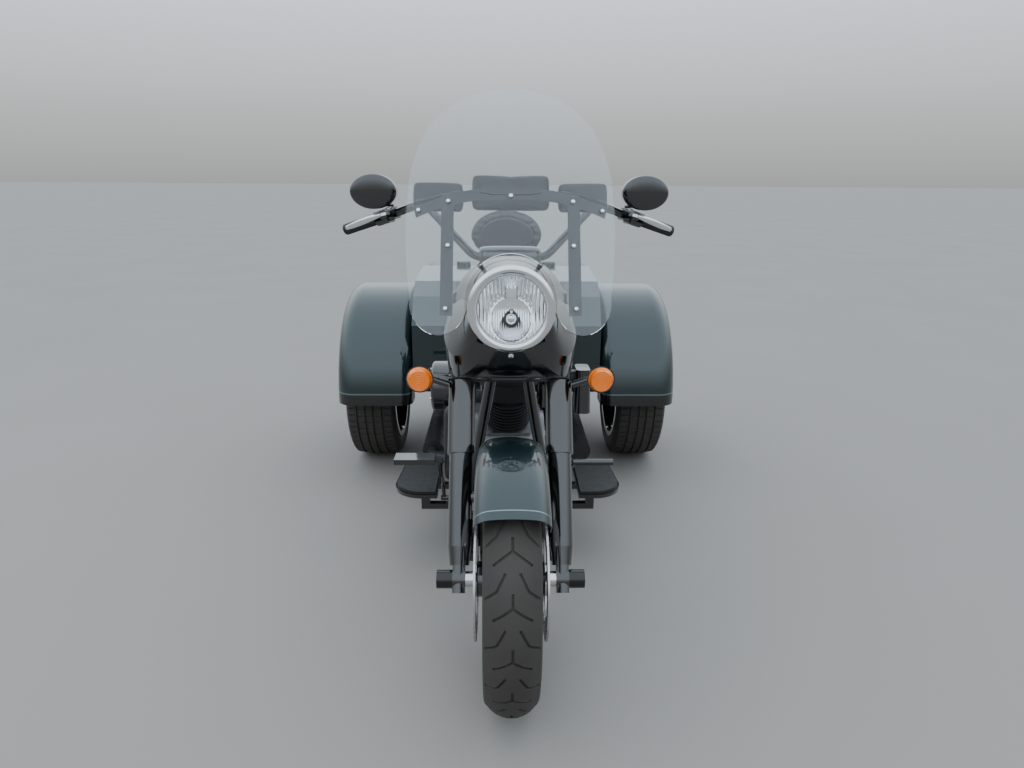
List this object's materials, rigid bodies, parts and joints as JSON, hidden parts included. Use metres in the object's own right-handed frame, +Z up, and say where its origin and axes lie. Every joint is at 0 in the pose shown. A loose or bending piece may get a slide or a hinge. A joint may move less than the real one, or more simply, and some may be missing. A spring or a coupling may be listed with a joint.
{
  "type": "motor trike",
  "caption": "Touring motor trike with a raked fork, clear windscreen, V-twin engine, wide rear mudguards and a hinged trunk lid.",
  "frame": {"origin": "on the ground, under the middle of the length and width", "axes": "+Z up, -Y forward, +X towards the rider's left"},
  "size_m": [1.416, 2.6699, 1.524],
  "materials": {
    "teal_paint": "metallic clear-coated gloss",
    "black_gloss": "gloss black enamel",
    "black_satin": "satin black coat",
    "chrome": "bright chrome",
    "cast_alloy": "cast, satin",
    "tyre": "matt tread rubber",
    "rubber": "moulded rubber",
    "seat_vinyl": "black grained vinyl, stitched",
    "clear": "clear polycarbonate",
    "lamp_glass": "clear lens",
    "amber": "translucent amber lens",
    "red_lens": "translucent red lens",
    "bare_disc": "ground brake disc"
  },
  "bodies": {
    "chassis": {"frame": "black_gloss", "engine_case": "cast_alloy", "cylinders": "black_satin", "cylinder_heads": "black_satin", "pushrod_tubes": "chrome", "primary_cover": "chrome", "air_cleaner": "chrome", "exhaust": "chrome", "fuel_tank": "teal_paint", "tank_console": "black_gloss", "seat": "seat_vinyl", "backrest_bar": "black_gloss", "backrest_pad": "seat_vinyl", "rear_body": "teal_paint", "rear_fenders": "teal_paint", "tail_lamps": "red_lens", "rear_bumper": "black_gloss", "rear_axle": "black_satin", "rear_shocks": "black_satin", "drive_belt": "rubber", "footboards": "black_gloss", "footboard_pads": "rubber", "foot_pedals": "black_gloss", "side_covers": "black_gloss", "oil_cooler": "black_satin", "swingarm": "black_satin", "horn": "black_gloss"},
    "fork": {"steering_stem": "black_satin", "fork_legs": "black_gloss", "front_axle": "black_gloss", "front_fender": "teal_paint", "front_calipers": "black_satin", "nacelle": "black_gloss", "headlamp_ring": "chrome", "headlamp_lens": "lamp_glass", "headlamp_bowl": "chrome", "windscreen": "clear", "screen_bracket": "black_satin", "screen_bag": "seat_vinyl", "handlebar": "black_gloss", "grips": "rubber", "bar_controls": "black_gloss", "hand_levers": "chrome", "mirrors": "black_gloss", "turn_signals": "black_gloss", "signal_lenses": "amber"},
    "front_wheel": {"front_wheel": "black_gloss", "front_tyre": "tyre", "front_discs": "bare_disc"},
    "left_wheel": {"left_rear_wheel": "black_gloss", "left_rear_tyre": "tyre"},
    "right_wheel": {"right_rear_wheel": "black_gloss", "right_rear_tyre": "tyre"},
    "lid": {"trunk_lid": "teal_paint"}
  },
  "joints": [
    {"name": "steering", "type": "hinge", "parent": "chassis", "child": "fork", "pos_m": [0, -0.67554, 0.9], "axis": [0, 0.4384, 0.8988], "range_deg": [-35, 35]},
    {"name": "front_wheel_spin", "type": "hinge", "parent": "fork", "child": "front_wheel", "pos_m": [0, -1.0155, 0.3195], "axis": [1, 0, 0], "continuous": true},
    {"name": "left_wheel_spin", "type": "hinge", "parent": "chassis", "child": "left_wheel", "pos_m": [0.594, 0.6545, 0.325], "axis": [1, 0, 0], "continuous": true},
    {"name": "right_wheel_spin", "type": "hinge", "parent": "chassis", "child": "right_wheel", "pos_m": [-0.594, 0.6545, 0.325], "axis": [1, 0, 0], "continuous": true},
    {"name": "trunk_lid_hinge", "type": "hinge", "parent": "chassis", "child": "lid", "pos_m": [0, 0.7865, 0.884], "axis": [1, 0, 0], "range_deg": [0, 70]}
  ]
}
